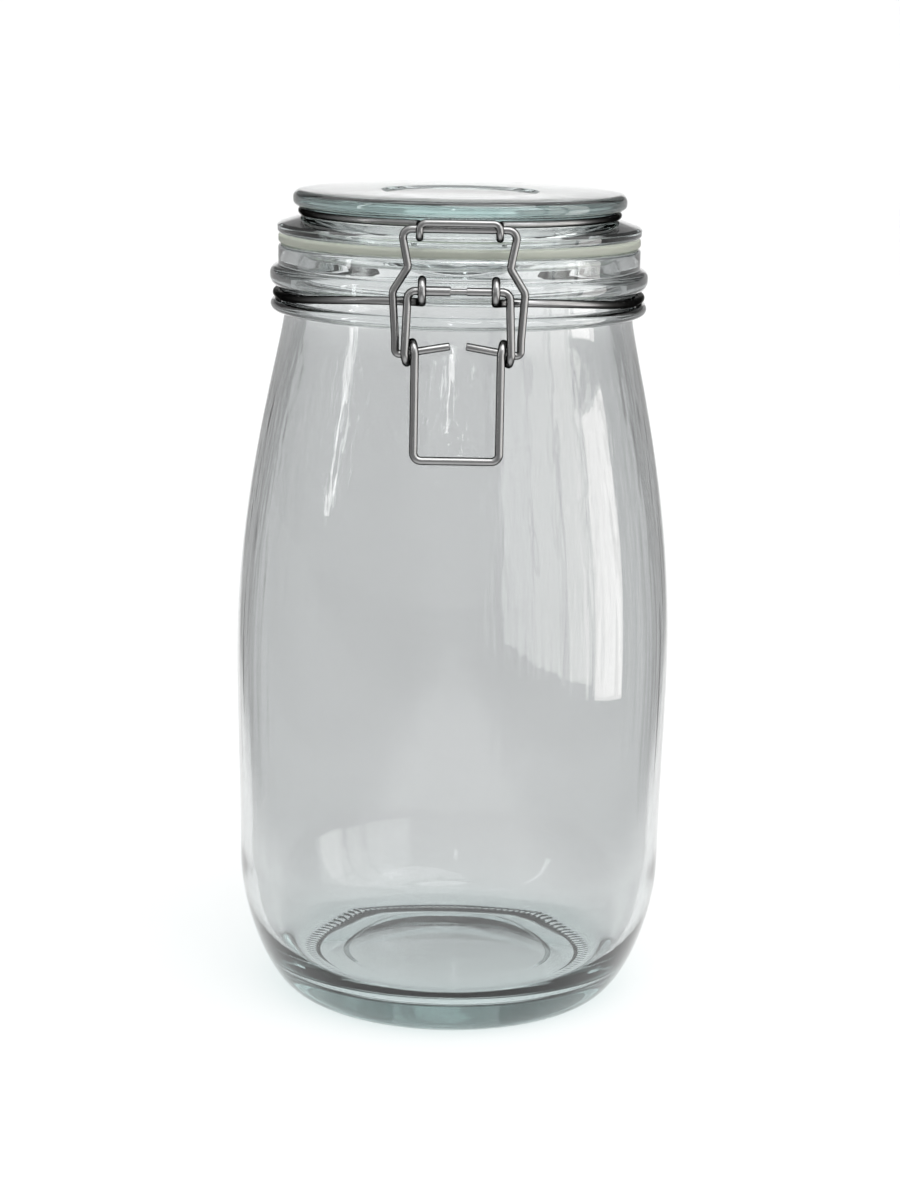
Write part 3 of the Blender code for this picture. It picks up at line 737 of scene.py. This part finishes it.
def lid_profile():
    """From the middle of the top outwards, down the outside and up the hollow of the plug."""
    top, flange, bottom = lid_high[2], lid_high[0], lid_low[2]
    corners = [
        (0, top - LID_DISH_DEPTH),
        (LID_DISH_R - LID_DISH_SLOPE, top - LID_DISH_DEPTH),
        (LID_DISH_R, top),
        (LID_TOP_R, top),
        (LID_TOP_R, LID_RIM_BOTTOM_Z),
        (LID_WAIST_R, LID_RIM_BOTTOM_Z),
        (LID_WAIST_R, LID_WAIST_BOTTOM_Z),
        (LID_LEDGE_R, LID_LEDGE_Z),
        (flange - FLANGE_EDGE_RUN, FLANGE_TOP_Z),
        (flange, FLANGE_TOP_Z - FLANGE_EDGE_DROP),
        (flange, FLANGE_BOTTOM_Z),
        (PLUG_R, FLANGE_BOTTOM_Z),
        (PLUG_R, bottom),
        (PLUG_R - PLUG_WALL, bottom),
        (PLUG_R - PLUG_WALL - PLUG_DRAFT, LID_CEILING_Z),
        (0, LID_CEILING_Z),
    ]
    radii = [
        LID_DISH_ROUND, LID_DISH_ROUND, *LID_RIM_ROUNDS, LID_WAIST_ROUND, LID_WAIST_ROUND,
        LID_WAIST_ROUND, *FLANGE_ROUNDS, *PLUG_ROUNDS,
    ]
    return rounded(corners, radii, LID_ROUND_STEPS)


turn("lid_fine", lid_profile(), "lid", lid_glass, "lid_glass")

# %% [markdown]
# The gasket is a flat ring with soft edges, turned from a rounded rectangle. Its box comes from
# the frame, and only the hole's radius and the rounding are given here.

# %% Gasket
gasket_low, gasket_high = (np.array(corner, float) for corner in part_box("gasket"))
GASKET_INNER_R, GASKET_ROUND, GASKET_STEPS = 0.0438, 0.0007, 5


def gasket_profile():
    """A rounded rectangle, closed on itself."""
    middle = (GASKET_INNER_R + gasket_high[0]) / 2
    corners = [
        (middle, gasket_high[2]), (gasket_high[0], gasket_high[2]), (gasket_high[0], gasket_low[2]),
        (GASKET_INNER_R, gasket_low[2]), (GASKET_INNER_R, gasket_high[2]), (middle, gasket_high[2]),
    ]
    return rounded(corners, GASKET_ROUND, GASKET_STEPS)[:-1]


turn("gasket_fine", gasket_profile(), "lid", rubber, "gasket", closed=True)

# %% [markdown]
# ## Wires
#
# Each wire is a tube: a circle carried along a path. Two side vectors at every station hold the
# circle, and each station takes them over from the one before, less what now points ahead, so
# that the tube doesn't twist. On a closed wire the small turn left at the seam is spread evenly.
# A curve with a bevel would be shorter, but it has no UV map in metres for the drawn lines.

# %% Directions along a wire
ANY_SIDE = (0.31, 0.87, 0.38)


def side_vectors(path, closed):
    """The direction ahead at each station, and two unit vectors across it."""
    step = np.roll(path, -1, 0) - path if closed else np.diff(path, axis=0, append=path[-1:])
    if not closed:
        step[-1] = step[-2]
    before = np.roll(step, 1, 0)
    if not closed:
        before[0] = step[0]
    ahead = unit(unit(step) + unit(before))
    side = np.empty_like(path)
    side[0] = unit(np.cross(ahead[0], ANY_SIDE))
    for k in range(1, len(path)):
        side[k] = unit(side[k - 1] - ahead[k] * (side[k - 1] @ ahead[k]))
    other = np.cross(ahead, side)
    if closed:
        last = unit(side[-1] - ahead[0] * (side[-1] @ ahead[0]))
        twist = math.atan2(last @ np.cross(ahead[0], side[0]), last @ side[0])
        share = -twist * np.arange(len(path)) / len(path)
        side, other = (
            side * np.cos(share)[:, None] + other * np.sin(share)[:, None],
            other * np.cos(share)[:, None] - side * np.sin(share)[:, None],
        )
    return ahead, side, other


# %% [markdown]
# The circle has 20 sides, enough for a wire of 2 mm with smooth shading. A wire that ends gets
# three smaller circles at each cut, so that its edge is a little rounded and catches the light.

# %% Tubes
TUBE_SIDES = 20
END_ROUND = 0.00025
END_INSETS, END_SHARES = np.array([0, 0, 0.3]), np.array([0, 0.75, 0.93])


def tube(name, path, thickness, body, node, closed=False, share=None):
    """Points at path + radius (side cos a + other sin a), with rounded ends on an open wire."""
    path = without_repeats(np.asarray(path, float))
    radius = np.full(len(path), thickness / 2)
    if share is not None:
        radius = radius * share(path)
    ahead, side, other = side_vectors(path, closed)
    if not closed:
        first, last = path[0], path[-1]
        inset = END_ROUND * END_INSETS
        cut = radius[0] * END_SHARES
        path = np.r_[
            first + ahead[0] * inset[:, None], [first + ahead[0] * END_ROUND], path[1:-1],
            [last - ahead[-1] * END_ROUND], last - ahead[-1] * inset[::-1, None],
        ]
        radius = np.r_[cut, radius, cut[::-1]]
        side, other = (np.r_[v[:1].repeat(3, 0), v, v[-1:].repeat(3, 0)] for v in (side, other))
    angle = np.linspace(0, 2 * np.pi, TUBE_SIDES, endpoint=False)[None, :, None]
    points = path[:, None] + radius[:, None, None] * (
        side[:, None] * np.cos(angle) + other[:, None] * np.sin(angle)
    )
    length = np.r_[0, np.linalg.norm(np.diff(path, axis=0, append=path[:1]), axis=1).cumsum()]
    put_mesh(name, points, body, steel, node, closed_along=closed, uv=length)


def mirrored(path):
    """The path on the other side of the middle plane, run backwards."""
    return (path * (-1, 1, 1))[::-1]


# %% [markdown]
# Three kinds of points make up the wires: points round the jar, points on a circle across a
# hinge axis, and the way out of the neck's groove. The axes are read from the joints of the
# frame, so that the bends stay centred on them and the wires turn in each other.

# %% Bends
COIL_STEPS = 41
NECK_RING_R, NECK_RING_Z = 0.0499, 0.1976
lid_axis = np.array(JOINTS["lid_hinge"]["pos_m"], float)
lever_axis = np.array(JOINTS["lever_pivot"]["pos_m"], float)
yoke_axis = np.array(JOINTS["yoke_swing"]["pos_m"], float)


def round_jar(angle_deg, radius, height):
    """(r sin a, -r cos a, z), with the angle counted from the front."""
    angle = np.radians(angle_deg)
    return np.stack(np.broadcast_arrays(radius * np.sin(angle), -radius * np.cos(angle), height), -1)


def about(axis, x, radius, angle_deg):
    """(x, y + r cos a, z + r sin a): a circle across the X axis, 0 to the back and 90 up."""
    angle = np.radians(angle_deg)
    return np.stack(
        np.broadcast_arrays(x, axis[1] + radius * np.cos(angle), axis[2] + radius * np.sin(angle)), -1
    )


def smooth(t):
    """3 t squared minus 2 t cubed, held between 0 and 1."""
    t = np.clip(t, 0, 1)
    return t * t * (3 - 2 * t)


def leaving_groove(start_deg, end_deg, radius, height, out_by, up_from, count):
    """The wire moves outwards first, past the bead, and then up."""
    t = np.linspace(0, 1, count)
    return round_jar(
        start_deg + (end_deg - start_deg) * t,
        NECK_RING_R + (radius - NECK_RING_R) * smooth(t / out_by),
        NECK_RING_Z + (height - NECK_RING_Z) * smooth((t - up_from) / (1 - up_from)),
    )


# %% [markdown]
# The neck wire lies in the groove. At the back it climbs out of it and makes two loops for the
# lid's hinge, and at the front its ends curl up into two eyelets for the lever. Only one half is
# worked out, and the other is its mirror image.

# %% Neck wire
WIRE, LID_WIRE = 0.00216, 0.0019
EYELET_X, EYELET_R, EYELET_TURN_DEG, EYELET_STEPS = 0.0094, 0.0029, 290, 36
EYELET_LEAD = (0.0009, 0.0013, -0.0001)
LOOP_X, LOOP_PITCH = 0.0107, 0.0026
BACK_LEAVES_DEG, BACK_SHORT_DEG, BACK_INSET, BACK_POINTS = 144, 2.5, 0.0004, 20
BACK_OUT_BY, BACK_UP_FROM = 0.6, 0.4
GROOVE_FROM_DEG, GROOVE_TO_DEG, GROOVE_POINTS = 143, 82, 62
FRONT_LEAVES_DEG, FRONT_ARRIVES_DEG, FRONT_POINTS = 81, 13.2, 60
FRONT_OUT_BY, FRONT_UP_FROM = 1.0, 0.1
FRONT_ARRIVES_R, FRONT_DIP = 0.0536, 0.0002


def neck_path():
    """Half of the wire, from the back to one eyelet, and its mirror image before it."""
    loop_bottom, eyelet_bottom = lid_axis[2] - EYELET_R, lever_axis[2] - EYELET_R
    k = np.linspace(0, 1, COIL_STEPS)
    loop = about(lid_axis, LOOP_X + LOOP_PITCH * k, EYELET_R, -90 - 360 * k)
    end_x = LOOP_X + LOOP_PITCH
    back_deg = 180 - math.degrees(math.atan2(end_x, lid_axis[1])) - BACK_SHORT_DEG
    back_r = math.hypot(end_x, lid_axis[1]) - BACK_INSET
    climb = leaving_groove(
        BACK_LEAVES_DEG, back_deg, back_r, loop_bottom, BACK_OUT_BY, BACK_UP_FROM, BACK_POINTS
    )
    eyelet_turns = -90 - EYELET_TURN_DEG * np.linspace(0, 1, EYELET_STEPS)
    half = np.concatenate([
        [[0, lid_axis[1], loop_bottom]],
        loop,
        climb[::-1],
        round_jar(np.linspace(GROOVE_FROM_DEG, GROOVE_TO_DEG, GROOVE_POINTS), NECK_RING_R, NECK_RING_Z),
        leaving_groove(
            FRONT_LEAVES_DEG, FRONT_ARRIVES_DEG, FRONT_ARRIVES_R, eyelet_bottom - FRONT_DIP,
            FRONT_OUT_BY, FRONT_UP_FROM, FRONT_POINTS,
        ),
        [np.array([EYELET_X, lever_axis[1], eyelet_bottom]) + EYELET_LEAD],
        about(lever_axis, EYELET_X, EYELET_R, eyelet_turns),
    ])
    return np.concatenate([mirrored(half[1:]), half])


tube("neck_wire", neck_path(), WIRE, "jar", "neck_ring")

# %% [markdown]
# The lid wire is one closed loop. Its straight back bar turns in the neck wire's loops. In front
# it runs out over the flange, dips, and turns up again as a hook that holds the yoke's bar.

# %% Lid wire
LID_RING_R, LID_RING_Z, LID_RING_BEND = 0.0432, 0.2198, 0.0018
LID_RING_FROM_DEG, LID_RING_TO_DEG, LID_RING_STEP_DEG = 153, 18, 1.5
HINGE_ARM_X, HINGE_ARM_RUN, HINGE_ARM_DROP = 0.0160, 0.0022, 0.0004
HOOK_X, HOOK_CLEARANCE, HOOK_BAR_Z = 0.0102, 0.00027, 0.2212
HOOK_DIP_RUN, HOOK_DIP_ROUND = 0.0010, 0.0030
YOKE_BAR_Y, YOKE_BAR_Z = -0.0555, 0.2195
BEND = 0.0020


def lid_wire_path():
    """Half of the loop from the hinge bar to the hook's bar, then its mirror image."""
    hinge_deg = 180 - math.degrees(math.asin(HINGE_ARM_X / LID_RING_R))
    hook_deg = math.degrees(math.asin(HOOK_X / LID_RING_R))
    ring_deg = np.arange(LID_RING_FROM_DEG, LID_RING_TO_DEG, -LID_RING_STEP_DEG)
    ring = round_jar(ring_deg, LID_RING_R, LID_RING_Z)
    reach = (WIRE + LID_WIRE) / 2 + HOOK_CLEARANCE
    hook_y, hook_low = YOKE_BAR_Y - reach, YOKE_BAR_Z - reach
    corners = np.concatenate([
        [
            [0, lid_axis[1], lid_axis[2]], [HINGE_ARM_X, lid_axis[1], lid_axis[2]],
            [HINGE_ARM_X, lid_axis[1] - HINGE_ARM_RUN, LID_RING_Z - HINGE_ARM_DROP],
            round_jar(hinge_deg, LID_RING_R, LID_RING_Z),
        ],
        ring,
        [
            round_jar(hook_deg, LID_RING_R, LID_RING_Z),
            [HOOK_X, YOKE_BAR_Y + HOOK_DIP_RUN, hook_low], [HOOK_X, hook_y, hook_low],
            [HOOK_X, hook_y, HOOK_BAR_Z], [0, hook_y, HOOK_BAR_Z],
        ],
    ])
    radii = [
        BEND, BEND, LID_RING_BEND, *[0] * len(ring), LID_RING_BEND, HOOK_DIP_ROUND, reach,
        HOOK_BAR_Z - YOKE_BAR_Z,
    ]
    half = rounded(corners, radii)
    return np.concatenate([half, mirrored(half[1:-1])])


tube("lid_wire", lid_wire_path(), LID_WIRE, "lid", "lid_ring", closed=True)

# %% [markdown]
# The lever is bent from one wire whose ends meet in the middle of its bar: a thin seam, with a
# thicker sleeve on one side of it. At each knee it makes a full turn round the yoke's stub.

# %% Lever
LEVER_LEG_X = 0.0130
KNEE_R, KNEE_OUTER_X, KNEE_INNER_X = 0.0026, 0.0136, 0.0110
HANDLE_BOTTOM = (-0.0594, 0.1607)
SEAM_HALF, SEAM_SHARE = 0.0020, 0.70
SLEEVE_START, SLEEVE_END, SLEEVE_SHARE = 0.0022, 0.0086, 1.2
STEP_RUN, STEP_EDGE, ON_EDGE = 0.0001, 0.00004, 1e-9


def lever_path():
    """Half of the loop from the middle of the bar to the middle of the handle, and its mirror."""
    stops = [
        0, SEAM_HALF / 2, SEAM_HALF - STEP_EDGE, SEAM_HALF,
        SEAM_HALF + STEP_RUN, SEAM_HALF + STEP_RUN + STEP_EDGE,
        SLEEVE_START - STEP_EDGE / 2, SLEEVE_START, SLEEVE_START + STEP_EDGE,
        SLEEVE_END - STEP_EDGE, SLEEVE_END,
        SLEEVE_END + STEP_RUN, SLEEVE_END + STEP_RUN + STEP_EDGE,
    ]
    bar = lever_axis + np.array([[x, 0, 0] for x in stops])
    knee_top = about(yoke_axis, KNEE_OUTER_X, KNEE_R, 180)
    leg = rounded([bar[-1], lever_axis + (LEVER_LEG_X, 0, 0), knee_top], BEND)[1:-1]
    k = np.linspace(0, 1, COIL_STEPS)
    knee = about(yoke_axis, KNEE_OUTER_X + (KNEE_INNER_X - KNEE_OUTER_X) * k, KNEE_R, 180 + 360 * k)
    handle = rounded([knee[-1], (KNEE_INNER_X, *HANDLE_BOTTOM), (0, *HANDLE_BOTTOM)], BEND)[1:]
    half = np.concatenate([bar, leg, knee, handle])
    return np.concatenate([half, mirrored(half[1:-1])])


def seam_and_sleeve(path):
    """The wire's share of its thickness: less at the seam, more in the sleeve."""
    x = path[:, 0]
    on_bar = np.linalg.norm((path - lever_axis)[:, 1:], axis=1) < STEP_RUN
    seam = on_bar & (np.abs(x) <= SEAM_HALF + ON_EDGE)
    sleeve = on_bar & (-x >= SLEEVE_START - ON_EDGE) & (-x <= SLEEVE_END + ON_EDGE)
    return np.where(seam, SEAM_SHARE, np.where(sleeve, SLEEVE_SHARE, 1.0))


tube("lever_wire", lever_path(), WIRE, "lever", "lever", closed=True, share=seam_and_sleeve)

# %% [markdown]
# The yoke hooks the lid down. Its bar lies in the lid wire's hook, its legs are waisted, and its
# cut ends point inwards through the lever's knees and rise a little towards the middle.

# %% Yoke
YOKE_SHOULDER_X = 0.0149
YOKE_WAIST, YOKE_HIP, YOKE_ANKLE = (0.0130, 0.2098), (0.0169, 0.2036), (0.0161, 0.1915)
STUB_START_X, STUB_END_X, STUB_SLOPE = 0.0161, 0.0021, 0.17
YOKE_ROUNDS = [0.0022, 0.0022, 0.0026, 0.0040, 0.0012]
YOKE_WIRE = WIRE * 0.95


def yoke_path():
    """Half of the yoke from the middle of its bar to a cut end, and its mirror before it."""
    knee_middle = (KNEE_OUTER_X + KNEE_INNER_X) / 2
    stub = [
        (x, yoke_axis[1], yoke_axis[2] + (knee_middle - x) * STUB_SLOPE)
        for x in (STUB_START_X, STUB_END_X)
    ]
    corners = [
        (0, YOKE_BAR_Y, YOKE_BAR_Z), (YOKE_SHOULDER_X, YOKE_BAR_Y, YOKE_BAR_Z),
        (YOKE_WAIST[0], YOKE_BAR_Y, YOKE_WAIST[1]), (YOKE_HIP[0], YOKE_BAR_Y, YOKE_HIP[1]),
        (YOKE_ANKLE[0], yoke_axis[1], YOKE_ANKLE[1]), *stub,
    ]
    half = rounded(corners, YOKE_ROUNDS)
    return np.concatenate([mirrored(half[1:]), half])


tube("yoke_wire", yoke_path(), YOKE_WIRE, "yoke", "yoke")
